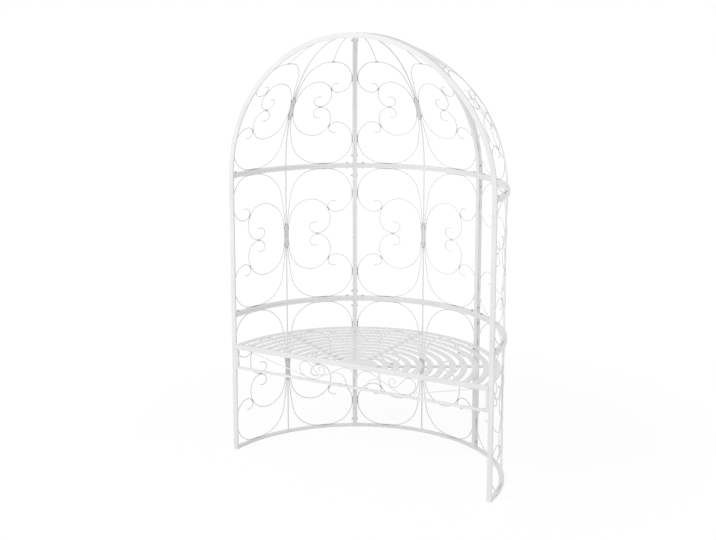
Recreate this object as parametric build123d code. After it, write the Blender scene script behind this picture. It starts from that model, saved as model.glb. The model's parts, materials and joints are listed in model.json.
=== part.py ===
from build123d import *
import os
from math import acos, asin, atan2, ceil, cos, degrees, hypot, pi, radians, sin

import numpy as np

# Garden pavilion with bench: a half-round steel arbour of two wall tiers and a quarter-sphere dome,
# three panels to a tier, bolted together, with a half-round slatted bench between the front posts.
# Millimetres, +Z up, the open side faces -Y, the origin is on the ground below the middle of the footprint.

# Overall sizes
arc_radius = 700.0          # plan half circle and dome, to the middle of the tubes
tier_height = 700.0         # one wall panel
panel_names = ("right", "back", "left")

# Frame tubes: rounded rectangular tube, its long side lying in the radial direction
tube_depth = 24.0
tube_width = 12.0
tube_wall = 1.2
tube_corner = 2.0

# Bent wire of the panels
wire_diameter = 5.0
bar_diameter = 7.0
weld_gap = 0.2              # left between pieces that a weld joins
touch_step = 0.5            # degrees of turn between the points that find where two scrolls touch
straight_limit = 1e-9       # a run whose ends turn less than this is straight
spine_lean = 18.5           # how far an outer scroll leans off the bar before it rolls over
weld_run = 50.0             # length of an outer scroll that lies flat on its rail
wall_loop_share = 0.184     # quarter turn of an outer scroll from rail to stile, of the panel height
dome_loop_share = 0.180     # the same on the dome, of the plan radius
inner_lean = 7.0
inner_rise = 36.0           # height of an inner scroll over the side of the hook that it touches
loop_ratio = 0.785          # each eighth turn of a loop is this much tighter than the bend before
hook_radius = 43.5          # a hook follows the half turn of a loop
hook_ratio = 0.70           # each eighth turn of a hook is this much tighter than the one before
hook_eighths = 3
tail_radius = 30.0          # open last bend at the end of a hook
tail_turn = 70.0
dome_scroll_share = 0.897   # top of the dome scrolls, measured along the dome, of the plan radius
crown_gap = 4.0             # the ribs stop this far from the upright axis of the dome

# Bolts and nuts
bolt_diameter = 6.0
bolt_clearance = 0.4
bolt_tip = 2.0
head_diameter = 10.0
head_height = 3.5
head_rounding = 1.5
nut_width = 10.0
nut_height = 5.0
post_bolt_inset = 40.0      # from the ground and from the joint of the two tiers
dome_bolt_inset = 52.0      # either side of the joint below the dome
crown_bolt_inset = 225.0    # along a rib from the crown
rail_bolt_inset = 41.0      # along a rail from the joint of two panels

# Bench
seat_height = 550.0
seat_rail_height = 24.0
slat_width = 30.0
slat_thickness = 5.0
slat_corner = 1.5
slat_count = 10
fit_gap = 0.3               # between the bench and the posts
centre_plate_radius = 105.0
support_size = 12.0
support_start = 40.0        # from the middle of the half circle
bracket_thickness = 3.0
bracket_reach = 32.0
bracket_drop = 35.0
bracket_width = 24.0
bracket_bolt_drop = 20.0    # below the slats

# Apron below the front rail of the bench
apron_bar = 12.0
apron_drop = 124.0          # from the seat to the underside of the lower bar
apron_bolt_inset = 14.0     # from the rail and from the lower bar
wave_end_share = 0.878      # the long wire, of half the front rail: its outer end on the rail,
wave_low_share = 0.358      # where it lies on the lower bar
wave_top = 57.0             # and where it lies against the rail again, from the middle
wave_low_radius = 60.0
heart_top_share = 0.4115    # where the heart scroll lies against the rail, of half the front rail
heart_ease = 45.0           # turn past the rail before its straight run
heart_curl_radius = 30.0
heart_curl_ratio = 0.79     # each quarter turn of its curl against the one before
heart_quarters = 3
heart_tail_turn = 60.0
arch_start = 55.0           # foot of the small arch on the lower bar

# Worked out from the sizes above
panel_angle = 180.0 / len(panel_names)
half_angle = radians(panel_angle) / 2
half_arc = arc_radius * half_angle
inner_radius = arc_radius - tube_depth / 2
dome_base = 2 * tier_height
depth = arc_radius + tube_depth / 2
to_origin = Pos(0, -depth / 2, 0)
wire_seat = weld_gap + wire_diameter / 2
wire_pitch = weld_gap + wire_diameter
hole_diameter = bolt_diameter + bolt_clearance
tier_bases = {"lower": 0.0, "upper": tier_height}
slat_bottom = seat_height - slat_thickness
rail_bottom = seat_height - seat_rail_height
apron_bottom = seat_height - apron_drop
apron_top = apron_bottom + apron_bar
wall_loop_radius = wall_loop_share * tier_height
dome_loop_radius = dome_loop_share * arc_radius
dome_scroll_rise = dome_scroll_share * arc_radius
front_reach = inner_radius - fit_gap
rim_radius = front_reach - slat_width / 2
slat_pitch = (front_reach - centre_plate_radius) / (slat_count + 1)
wave_end = wave_end_share * front_reach
wave_low = wave_low_share * front_reach
heart_top = heart_top_share * front_reach


# Plane curves: a run is (length, turn in degrees), left turns are positive

def arc(radius, turn):
    return radius * radians(abs(turn)), turn


def line(length):
    return length, 0.0


def trace(x, y, heading, runs, step=45.0):
    """Knots (x, y, heading) along a chain of tangent runs, at most one step of turn apart."""
    knots = [(x, y, heading)]
    for length, turn in runs:
        parts = max(1, ceil(abs(turn) / step))
        half = radians(turn / parts) / 2
        chord = length / parts * (sin(half) / half if half else 1.0)
        for _ in range(parts):
            x += chord * cos(radians(heading) + half)
            y += chord * sin(radians(heading) + half)
            heading += turn / parts
            knots.append((x, y, heading))
    return knots


def slide_to_touch(mover, fixed, pitch):
    """How far the mover slides along +x until its points come within one pitch of the fixed ones."""
    mover = np.array(mover)[:, None, :2]
    fixed = np.array(fixed)[None, :, :2]
    across = fixed[..., 0] - mover[..., 0]
    apart = np.abs(fixed[..., 1] - mover[..., 1])
    reach = np.sqrt(np.clip(pitch**2 - apart**2, 0, None))
    return float(np.min(np.where(apart < pitch, across - reach, np.inf)))


def spine(top_radius, lean, height):
    """Runs that leave the bar upright, lean away from it and roll over level at the height."""
    across = top_radius + lean
    up = height - top_radius
    radius = (across**2 + up**2 - top_radius**2) / (2 * lean)
    turn = degrees(asin(up / (radius - top_radius)))
    return [arc(radius, -turn), arc(top_radius, turn - 90)]


def half_turn(radius):
    """A quarter turn, then two eighth turns that tighten by the loop ratio."""
    return [arc(radius, -90), arc(radius * loop_ratio, -45), arc(radius * loop_ratio**2, -45)]


def hook(eighths):
    """Eighth turns that tighten by the hook ratio; the first two end at the side of the hook."""
    return [arc(hook_radius * hook_ratio**n, -45) for n in range(eighths)]


def half_scrolls(height, loop, squeeze):
    """Knots of the outer and the inner scroll above the middle of a panel, and the middle of the weld run.

    squeeze(y) is the true width of a unit of x at height y: 1 on a wall, less on the dome.
    """
    ending = hook(hook_eighths) + [arc(tail_radius, -tail_turn)]
    outer_foot = (bar_diameter / 2 + wire_seat) / squeeze(0)
    edge = half_arc - (tube_width + wire_seat) / squeeze(height - loop)
    run_start = edge - loop - weld_run
    top_radius = run_start - outer_foot - spine_lean
    curl = half_turn(loop) + ending
    outer = trace(outer_foot, 0, 90, spine(top_radius, spine_lean, height) + [line(weld_run)] + curl)

    hook_side = trace(edge - loop, height, 0, half_turn(loop) + hook(2))[-1][1]
    half_turn_drop = -trace(0, 0, 0, half_turn(1))[-1][1]
    inner_height = hook_side + inner_rise
    inner_loop = (inner_height - wire_pitch / 2) / half_turn_drop
    inner_foot = outer_foot + wire_pitch / squeeze(0)
    shoulder = trace(0, inner_height, 0, half_turn(inner_loop)[:1], touch_step)
    outer_curl = trace(edge - loop, height, 0, curl, touch_step)[len(shoulder):]
    inner_top = slide_to_touch(shoulder, outer_curl, wire_pitch / squeeze(hook_side))
    inner_radius_left = inner_top - inner_foot - inner_lean
    inner_runs = spine(inner_radius_left, inner_lean, inner_height)
    inner = trace(inner_foot, 0, 90, inner_runs + half_turn(inner_loop) + ending)
    return outer, inner, run_start + weld_run / 2


def c_scroll(upper, lower):
    """One C-scroll from its lower curl to its upper curl."""
    below = [(x, -y, 180 - heading) for x, y, heading in reversed(lower)]
    return below[:-1] + upper


# Surfaces that a plane curve is bent onto, for the panel whose middle is at +Y

def on_wall(x, y, heading):
    turn = x / arc_radius
    level, climb = cos(radians(heading)), sin(radians(heading))
    point = Vector(arc_radius * sin(turn), arc_radius * cos(turn), tier_height / 2 + y)
    return point, Vector(level * cos(turn), -level * sin(turn), climb)


def on_dome(x, y, heading):
    turn = x / arc_radius
    latitude = dome_middle / arc_radius + y / arc_radius
    level, climb = cos(radians(heading)) * cos(latitude), sin(radians(heading))
    flat = Vector(sin(turn), cos(turn), 0)
    east = Vector(cos(turn), -sin(turn), 0)
    up = Vector(0, 0, 1)
    point = flat * (arc_radius * cos(latitude)) + up * (dome_base + arc_radius * sin(latitude))
    north = up * cos(latitude) - flat * sin(latitude)
    return point, (east * level + north * climb).normalized()


def on_apron(x, y, heading):
    return Vector(x, tube_width / 2, y), Vector(cos(radians(heading)), 0, sin(radians(heading)))


def biarc(start, start_way, end, end_way):
    """Two tangent arcs from one knot to the next, or one straight run where both point along it."""
    span = end - start
    way = span.normalized()
    if way.cross(start_way).length + way.cross(end_way).length < straight_limit:
        return [Line(start, end)]
    both = start_way + end_way
    square = span.dot(span)
    along = span.dot(both)
    reach = square / (along + (along**2 + 2 * (1 - start_way.dot(end_way)) * square) ** 0.5)
    joint = (start + end + (start_way - end_way) * reach) / 2
    first = TangentArc(start, joint, tangent=start_way)
    return [first, TangentArc(joint, end, tangent=span - both * reach)]


def bent_wire(knots, surface, diameter=wire_diameter):
    """A round wire along the knots of a plane curve, bent onto a surface."""
    ends = [surface(*knot) for knot in knots]
    edges = []
    for (start, start_way), (end, end_way) in zip(ends, ends[1:]):
        edges += biarc(start, start_way, end, end_way)
    section = Plane(origin=ends[0][0], z_dir=ends[0][1]) * Circle(diameter / 2)
    return sweep(section, path=Wire(edges))


def both_sides(shapes):
    """The shapes of the right half and their mirror images."""
    return [solid for shape in shapes for solid in (shape, mirror(shape, about=Plane.YZ))]


def group(shapes):
    return Compound(children=[solid for shape in shapes for solid in shape.solids()])


# Frame tubes

def tube_face(across, up):
    inside = RectangleRounded(across - 2 * tube_wall, up - 2 * tube_wall, tube_corner - tube_wall)
    return RectangleRounded(across, up, tube_corner) - inside


def cross_hole(side):
    """Hole through the two sides of a stile whose panel lies on the given side of the joint."""
    return Pos(0, side * tube_width / 2, 0) * Rot(90, 0, 0) * Cylinder(hole_diameter / 2, 2 * tube_width)


def wall_stile(angle, side, cross_heights, seat_heights):
    stile = extrude(Pos(arc_radius, side * tube_width / 2) * tube_face(tube_depth, tube_width), tier_height)
    for height in cross_heights:
        stile -= Pos(arc_radius, 0, height) * cross_hole(side)
    for along, height in seat_heights:
        bore = Rot(0, 90, 0) * Cylinder(hole_diameter / 2, tube_depth)
        stile -= Pos(inner_radius, along, height) * bore
    return Rot(0, 0, angle) * stile


def dome_rib(angle, side, latitudes):
    start = Pos(arc_radius, side * tube_width / 2) * tube_face(tube_depth, tube_width)
    rib = revolve(start, axis=Axis((0, 0, 0), (0, -1, 0)), revolution_arc=90)
    far_side = Align.MIN if side > 0 else Align.MAX
    beyond = Box(2 * depth, depth, depth, align=(Align.CENTER, far_side, Align.MIN))
    rib -= Rot(0, 0, side * panel_angle / 2) * beyond
    rib -= Box(2 * crown_gap, depth, 2 * depth)
    for latitude in latitudes:
        rib -= Pos(arc_radius * cos(latitude), 0, arc_radius * sin(latitude)) * cross_hole(side)
    return Rot(0, 0, angle) * Pos(0, 0, dome_base) * rib


def rail(first_angle, bolted):
    """Curved rail from the stile at the first angle to the stile one panel further, standing on z = 0."""
    section = Plane.XZ * (Pos(arc_radius, tube_width / 2) * tube_face(tube_depth, tube_width))
    bend = revolve(section, axis=Axis.Z, revolution_arc=panel_angle)
    for turn, side in ((0, 1), (panel_angle, -1)):
        stile_room = Box(2 * tube_depth, tube_width, 4 * tube_width)
        bend -= Rot(0, 0, turn) * Pos(arc_radius, side * tube_width / 2, 0) * stile_room
        if bolted:
            hole = Cylinder(hole_diameter / 2, 4 * tube_width)
            bend -= Rot(0, 0, turn + side * rail_bolt_turn) * Pos(arc_radius, 0, 0) * hole
    return Rot(0, 0, first_angle) * bend


# Bolts and nuts, along +Z from the face under the head

def bolt(length):
    head = Cylinder(head_diameter / 2, head_height, align=(Align.CENTER, Align.CENTER, Align.MAX))
    head = fillet(head.edges().sort_by(Axis.Z)[0], head_rounding)
    shank = Cylinder(bolt_diameter / 2, length, align=(Align.CENTER, Align.CENTER, Align.MIN))
    return head + shank


def nut(grip):
    hexagon = RegularPolygon(nut_width / 2, 6, major_radius=False)
    return Pos(0, 0, grip) * extrude(hexagon - Circle(hole_diameter / 2), nut_height)


# Dome geometry along a meridian

dome_foot = tube_width + wire_seat
dome_middle = (dome_foot + dome_scroll_rise) / 2
rail_bolt_turn = degrees(rail_bolt_inset / arc_radius)
rib_bolt_latitudes = (dome_bolt_inset / arc_radius, pi / 2 - crown_bolt_inset / arc_radius)


def dome_squeeze(y):
    return cos((dome_middle + y) / arc_radius)


def meridian_rod(turn, low, high, diameter):
    """Round rod on the dome along a meridian, turned off the middle of the panel."""
    ends = []
    for latitude in (low, high):
        y = latitude * arc_radius - dome_middle
        ends.append((turn * arc_radius, y, 90))
    return bent_wire(ends, on_dome, diameter)


def wall_scrollwork():
    outer, inner, _ = half_scrolls(tier_height / 2 - tube_width - wire_seat, wall_loop_radius, lambda y: 1.0)
    bar_length = tier_height - 2 * tube_width
    bar = Pos(0, arc_radius, tier_height / 2) * Cylinder(bar_diameter / 2, bar_length)
    scrolls = [bent_wire(c_scroll(half, half), on_wall) for half in (outer, inner)]
    return group([bar] + both_sides(scrolls))


def dome_scrollwork():
    height = dome_scroll_rise - dome_middle
    upper = half_scrolls(height, dome_loop_radius, dome_squeeze)
    lower = half_scrolls(height, dome_loop_radius, lambda y: dome_squeeze(-y))
    scrolls = [bent_wire(c_scroll(upper[n], lower[n]), on_dome) for n in (0, 1)]
    rod_turn = upper[2] / arc_radius
    rod_foot = (dome_scroll_rise + wire_seat) / arc_radius
    rod_crown = acos((tube_width + wire_seat) / sin(half_angle - rod_turn) / arc_radius)
    scrolls.append(meridian_rod(rod_turn, rod_foot, rod_crown, wire_diameter))
    crown_reach = tube_width + weld_gap + bar_diameter / 2 * cos(half_angle)
    bar_crown = acos(crown_reach / sin(half_angle) / arc_radius)
    bar = meridian_rod(0, asin((tube_width + weld_gap) / arc_radius), bar_crown, bar_diameter)
    return group([bar] + both_sides(scrolls))


# Bench

def behind_front_rail(shape):
    """What is left of a shape behind the back face of the front rail."""
    front = Box(2 * depth, depth, 2 * depth, align=(Align.CENTER, Align.MAX, Align.CENTER))
    return shape - Pos(0, tube_width + weld_gap, seat_height) * front


def slat(radius):
    middle = Pos(radius, slat_bottom + slat_thickness / 2)
    section = Plane.XZ * (middle * RectangleRounded(slat_width, slat_thickness, slat_corner))
    return behind_front_rail(revolve(section, axis=Axis.Z, revolution_arc=180))


def centre_plate():
    disc = Cylinder(centre_plate_radius, slat_thickness, align=(Align.CENTER, Align.CENTER, Align.MIN))
    disc = fillet(disc.edges().group_by(Axis.Z)[-1], slat_corner)
    return behind_front_rail(Pos(0, 0, slat_bottom) * disc)


def support_bar(angle):
    length = front_reach - support_start
    bar = extrude(Plane.YZ * tube_face(support_size, support_size), length)
    return Rot(0, 0, angle) * Pos(support_start, 0, slat_bottom - support_size / 2) * bar


def across_tube(half_length, up):
    """Tube along X between the front posts, lying in their plane, on z = 0."""
    section = Plane.YZ * (Pos(tube_width / 2, up / 2) * tube_face(tube_width, up))
    return Pos(-half_length, 0, 0) * extrude(section, 2 * half_length)


def apron_upright(side):
    middle = front_reach - apron_bar / 2
    tube = extrude(tube_face(apron_bar, tube_width), rail_bottom - apron_bottom)
    tube = Pos(side * middle, tube_width / 2, apron_bottom) * tube
    for height in apron_bolt_heights:
        hole = Rot(0, 90, 0) * Cylinder(hole_diameter / 2, 2 * apron_bar)
        tube -= Pos(side * middle, tube_width / 2, height) * hole
    return tube


def seat_bracket(angle):
    """Angle plate at a rear post: one leg on the posts, one under the rim."""
    corner = Align.MAX
    post_leg = Box(bracket_thickness, bracket_width, bracket_drop, align=(corner, Align.CENTER, corner))
    rim_leg = Box(bracket_reach, bracket_width, bracket_thickness, align=(corner, Align.CENTER, corner))
    plate = Pos(inner_radius, 0, slat_bottom) * (post_leg + rim_leg)
    for along, height in bracket_bolts:
        hole = Rot(0, 90, 0) * Cylinder(hole_diameter / 2, tube_depth)
        plate -= Pos(inner_radius, along, height) * hole
    return Rot(0, 0, angle) * plate


def tangent_rise(run, rise, radii):
    """Angle of the straight stretch between two bends, over a run and a rise between their level points."""
    return asin(radii / hypot(run, radii - rise)) - atan2(radii - rise, run)


def apron_wires():
    """Right half of the apron: the long wire, the heart scroll and the small arch."""
    low = apron_top + wire_seat
    top = rail_bottom - wire_seat
    rise = top - low
    top_radius = wave_top - wire_pitch / 2
    out_angle = tangent_rise(wave_end - wave_low, rise, wave_low_radius)
    in_angle = tangent_rise(wave_low - wave_top, rise, wave_low_radius + top_radius)
    out_run = wave_end - wave_low - wave_low_radius * sin(out_angle)
    bends = wave_low_radius + top_radius
    in_run = wave_low - wave_top - bends * sin(in_angle)
    start = 180 + degrees(out_angle)
    wave = [line(out_run / cos(out_angle)), arc(wave_low_radius, -degrees(out_angle + in_angle)),
            line(in_run / cos(in_angle)), arc(top_radius, degrees(in_angle) + 90),
            line(top - top_radius - apron_top)]

    clear = (wave_end - heart_top) * sin(out_angle) - wire_pitch
    heart_radius = clear / (1 + cos(out_angle))
    foot = (heart_top + heart_radius * sin(out_angle), top - heart_radius * (1 + cos(out_angle)))
    across, up = sin(in_angle), cos(in_angle)
    on_diagonal = (wave_top + top_radius * across, top - top_radius * (1 - up))
    ease = radians(heart_ease)
    swing = heart_radius + heart_curl_radius
    curl_centre = (heart_top - swing * sin(ease), top - heart_radius + swing * cos(ease))
    above = (curl_centre[0] - on_diagonal[0]) * across + (curl_centre[1] - on_diagonal[1]) * up
    second_radius = heart_curl_radius * heart_curl_ratio
    touch = second_radius + wire_pitch + (heart_curl_radius - second_radius) * up
    link = (above - touch) / (cos(ease) * across + sin(ease) * up)
    heart = [arc(heart_radius, 180 - degrees(out_angle) + heart_ease), line(link)]
    heart.append(arc(heart_curl_radius, -heart_ease))
    for quarter in range(1, heart_quarters + 1):
        heart.append(arc(heart_curl_radius * heart_curl_ratio**quarter, -90))
    heart.append(arc(heart_curl_radius * heart_curl_ratio ** (heart_quarters + 1), -heart_tail_turn))

    reach = (on_diagonal[0] - arch_start) * across + (on_diagonal[1] - apron_top) * up - wire_pitch
    arch = [arc(reach / (1 + across), -90 - degrees(in_angle))]
    return [bent_wire(trace(wave_end, top, start, wave), on_apron),
            bent_wire(trace(*foot, degrees(out_angle), heart), on_apron),
            bent_wire(trace(arch_start, apron_top, 90, arch), on_apron)]


apron_bolt_heights = (apron_top + apron_bolt_inset, rail_bottom - apron_bolt_inset)
bracket_bolt_height = slat_bottom - bracket_bolt_drop
bracket_bolts = [(side * tube_width / 2, bracket_bolt_height) for side in (-1, 1)]
nodes = {}

# Walls and dome, panel by panel, counter-clockwise from the right front post
wall_scrolls = wall_scrollwork()
dome_scrolls = dome_scrollwork()
post_bolt_heights = {"lower": (post_bolt_inset, tier_height - post_bolt_inset),
                     "upper": (post_bolt_inset, tier_height - dome_bolt_inset)}
edge_names = {"right": ("front", "rear"), "back": ("right", "left"), "left": ("rear", "front")}
for index, panel in enumerate(panel_names):
    first = index * panel_angle
    edges = []
    for name, angle, side in zip(edge_names[panel], (first, first + panel_angle), (1, -1)):
        edges.append((name, angle, side, name != "front"))
    to_panel = Rot(0, 0, first + panel_angle / 2 - 90)
    for tier, base in tier_bases.items():
        for name, angle, side, joined in edges:
            cross = post_bolt_heights[tier] if joined else ()
            seat = ()
            if tier == "lower":
                heights = (bracket_bolt_height,) if joined else apron_bolt_heights
                seat = [(side * tube_width / 2, height) for height in heights]
            stile = wall_stile(angle, side, cross, seat)
            nodes[f"{tier}_{panel}_{name}_stile"] = Pos(0, 0, base) * stile
        top = base + tier_height - tube_width
        nodes[f"{tier}_{panel}_bottom_rail"] = Pos(0, 0, base) * rail(first, tier == "upper")
        nodes[f"{tier}_{panel}_top_rail"] = Pos(0, 0, top) * rail(first, True)
        nodes[f"{tier}_{panel}_scrolls"] = Pos(0, 0, base) * to_panel * wall_scrolls
    for name, angle, side, joined in edges:
        nodes[f"dome_{panel}_{name}_rib"] = dome_rib(angle, side, rib_bolt_latitudes if joined else ())
    nodes[f"dome_{panel}_rail"] = Pos(0, 0, dome_base) * rail(first, True)
    nodes[f"dome_{panel}_scrolls"] = to_panel * dome_scrolls

# Bench and apron
nodes["seat_front_rail"] = Pos(0, 0, rail_bottom) * across_tube(front_reach, seat_rail_height)
nodes["seat_rim"] = slat(rim_radius)
nodes["seat_slats"] = group([slat(rim_radius - n * slat_pitch) for n in range(1, slat_count + 1)])
nodes["seat_centre_plate"] = centre_plate()
nodes["seat_support_bars"] = group([support_bar((n + 0.5) * panel_angle) for n in range(len(panel_names))])
nodes["apron_lower_bar"] = Pos(0, 0, apron_bottom) * across_tube(front_reach - apron_bar, apron_bar)
nodes["apron_left_upright"] = apron_upright(-1)
nodes["apron_right_upright"] = apron_upright(1)
nodes["apron_scrolls"] = group(both_sides(apron_wires()))
nodes["seat_bracket_right"] = seat_bracket(panel_angle)
nodes["seat_bracket_left"] = seat_bracket(2 * panel_angle)

# Fasteners: across the joints of two panels, up through stacked rails, and out from the bench into the posts
grip = 2 * tube_width
long_bolt = bolt(grip + nut_height + bolt_tip)
post_places = []
for joint in range(1, len(panel_names)):
    spots = []
    for tier, base in tier_bases.items():
        spots += [(arc_radius, base + height) for height in post_bolt_heights[tier]]
    for latitude in rib_bolt_latitudes:
        spots.append((arc_radius * cos(latitude), dome_base + arc_radius * sin(latitude)))
    for out, height in spots:
        post_places.append(Rot(0, 0, joint * panel_angle) * Pos(out, -tube_width, height) * Rot(-90, 0, 0))
rail_places = []
for joint_height in (tier_height, dome_base):
    for index in range(len(panel_names)):
        for turn in (rail_bolt_turn, panel_angle - rail_bolt_turn):
            ring_place = Pos(arc_radius, 0, joint_height - tube_width)
            rail_places.append(Rot(0, 0, index * panel_angle + turn) * ring_place)
nodes["post_bolts"] = group([place * long_bolt for place in post_places])
nodes["post_nuts"] = group([place * nut(grip) for place in post_places])
nodes["rail_bolts"] = group([place * long_bolt for place in rail_places])
nodes["rail_nuts"] = group([place * nut(grip) for place in rail_places])

bench_bolts = []
for angle, side in ((0, 1), (180, -1)):
    for height in apron_bolt_heights:
        head_seat = Pos(front_reach - apron_bar, side * tube_width / 2, height)
        place = Rot(0, 0, angle) * head_seat * Rot(0, 90, 0)
        bench_bolts.append(place * bolt(apron_bar + tube_depth / 2))
for angle in (panel_angle, 2 * panel_angle):
    for along, height in bracket_bolts:
        place = Rot(0, 0, angle) * Pos(inner_radius - bracket_thickness, along, height) * Rot(0, 90, 0)
        bench_bolts.append(place * bolt(bracket_thickness + tube_depth / 2))
nodes["bench_bolts"] = group(bench_bolts)

os.makedirs("parts", exist_ok=True)
for name, shape in nodes.items():
    export_step(to_origin * shape, f"parts/{name}.step")
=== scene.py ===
import json
from math import cos, degrees, pi, radians

import bpy
import numpy as np
from bpy.props import FloatProperty, FloatVectorProperty, IntProperty, PointerProperty
from bpy.types import Operator, Panel, PropertyGroup
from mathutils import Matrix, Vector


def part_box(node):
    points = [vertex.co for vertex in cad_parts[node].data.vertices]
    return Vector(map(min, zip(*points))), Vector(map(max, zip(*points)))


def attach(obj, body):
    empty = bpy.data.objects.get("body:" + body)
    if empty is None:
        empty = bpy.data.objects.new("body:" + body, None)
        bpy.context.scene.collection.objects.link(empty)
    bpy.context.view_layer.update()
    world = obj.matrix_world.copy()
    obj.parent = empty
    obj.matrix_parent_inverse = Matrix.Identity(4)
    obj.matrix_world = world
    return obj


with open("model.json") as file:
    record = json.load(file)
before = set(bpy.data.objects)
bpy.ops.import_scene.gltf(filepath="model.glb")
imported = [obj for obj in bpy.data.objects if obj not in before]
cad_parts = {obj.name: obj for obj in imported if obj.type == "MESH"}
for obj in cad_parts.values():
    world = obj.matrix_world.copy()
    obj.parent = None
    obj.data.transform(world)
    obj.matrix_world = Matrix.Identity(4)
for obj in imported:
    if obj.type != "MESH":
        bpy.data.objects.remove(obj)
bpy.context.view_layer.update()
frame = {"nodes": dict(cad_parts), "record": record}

bl_info = {
    "name": "White garden pavilion with bench",
    "version": (1, 0, 0),
    "blender": (4, 5, 0),
    "location": "View3D > Sidebar > Pavilion",
    "description": "Powder coat, welds, washers and a white studio for a half-round garden pavilion",
    "category": "Object",
}

# The body that every piece rides on
BODY = "root"

# Measured on the loaded frame
POST_LOW, POST_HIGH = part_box("lower_right_front_stile")
RIM_LOW, RIM_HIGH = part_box("seat_rim")
RAIL_LOW, RAIL_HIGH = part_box("seat_front_rail")
APRON_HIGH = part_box("apron_lower_bar")[1]
PLATE_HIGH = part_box("seat_centre_plate")[1]
PLAN_RADIUS = (POST_LOW.x + POST_HIGH.x) / 2
PANEL_HEIGHT = POST_HIGH.z
HALF_RAIL = RAIL_HIGH.x

# The slats lie evenly between the centre plate and the rim
SLAT_COUNT = 10
SLAT_PITCH = (RIM_HIGH.x - PLATE_HIGH.x) / (SLAT_COUNT + 1)

# Wires of the panels, as shares of the panel height and of the plan radius
WALL_LOOP_SHARE = 0.184
DOME_LOOP_SHARE = 0.180
DOME_SCROLL_SHARE = 0.897

# Wires of the apron, as shares of half the front rail
WAVE_END_SHARE = 0.878
WAVE_LOW_SHARE = 0.358
HEART_TOP_SHARE = 0.4115

# The panels of a tier share a half circle: degrees, counter-clockwise from +X
PANEL_COUNT = 3
PANEL_ANGLE = 180.0 / PANEL_COUNT
PANEL_MIDDLES = PANEL_ANGLE * (np.arange(PANEL_COUNT) + 0.5)
PANEL_STARTS = PANEL_MIDDLES - PANEL_ANGLE / 2
PANEL_ENDS = PANEL_MIDDLES + PANEL_ANGLE / 2
PANEL_JOINTS = PANEL_ENDS[:-1]

# Where a shape is laid out before it is turned into its panel, in the same degrees
AT_FRONT_RIGHT = 0.0
AT_BACK = 90.0

# Turns of the bends in a scroll, the step of a finely drawn one and an upright heading, in degrees
QUARTER_TURN = 90.0
EIGHTH_TURN = 45.0
FINE_STEP = 0.5
UPRIGHT = 90.0

# Eighth turns of a hook: up to its side, and up to the end of what another wire can touch
SIDE_EIGHTHS = 2
TOUCH_EIGHTHS = 3

# Facets of the welds and washers
BEAD_SIDES = 8
BEAD_RINGS = 5
SEAM_SIDES = 8
SEAM_RINGS = 97
SEAM_CORNER_KNOTS = 7
CROWN_SIDES = 24
CROWN_RINGS = 11
WASHER_STEPS = 28
WASHER_SIDES = 12

# Powers that square off a round section: 1 leaves it round, less is squarer
BEAD_POWER = 0.5
CORNER_POWER = 0.4

# Octaves of the noises in the finishes, and the stops of their colour ramps
CLOUD_DETAIL = 4.0
GLOSS_DETAIL = 3.0
GRAIN_DETAIL = 2.0
CLOUD_STOPS = (0.30, 0.62)
SPANGLE_STOPS = (0.35, 0.65)

# Spacing of the nodes in the node editor
NODE_COLUMN = 220
NODE_ROW = 300

# Directions: straight up, and one that lies along no washer's axis
UP = np.array([0.0, 0.0, 1.0])
SLANT = np.array([0.6, 0.64, 0.48])


# Short forms of the properties

def length(name, default, description):
    """A size in metres."""
    return FloatProperty(
        name=name, description=description, default=default, min=0.0, unit="LENGTH", precision=4
    )


def factor(name, default, description):
    """A share, mostly from 0 to 1."""
    return FloatProperty(
        name=name, description=description, default=default, min=0.0, soft_max=1.0, subtype="FACTOR"
    )


def plain(name, default, description):
    """A number without a unit of Blender's."""
    return FloatProperty(name=name, description=description, default=default)


def position(name, default, description):
    """A place in metres."""
    return FloatVectorProperty(name=name, description=description, default=default, subtype="TRANSLATION")


def colour(name, default, description):
    """A colour with alpha."""
    return FloatVectorProperty(
        name=name, description=description, default=default, size=4, subtype="COLOR", min=0.0, max=1.0
    )


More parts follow.
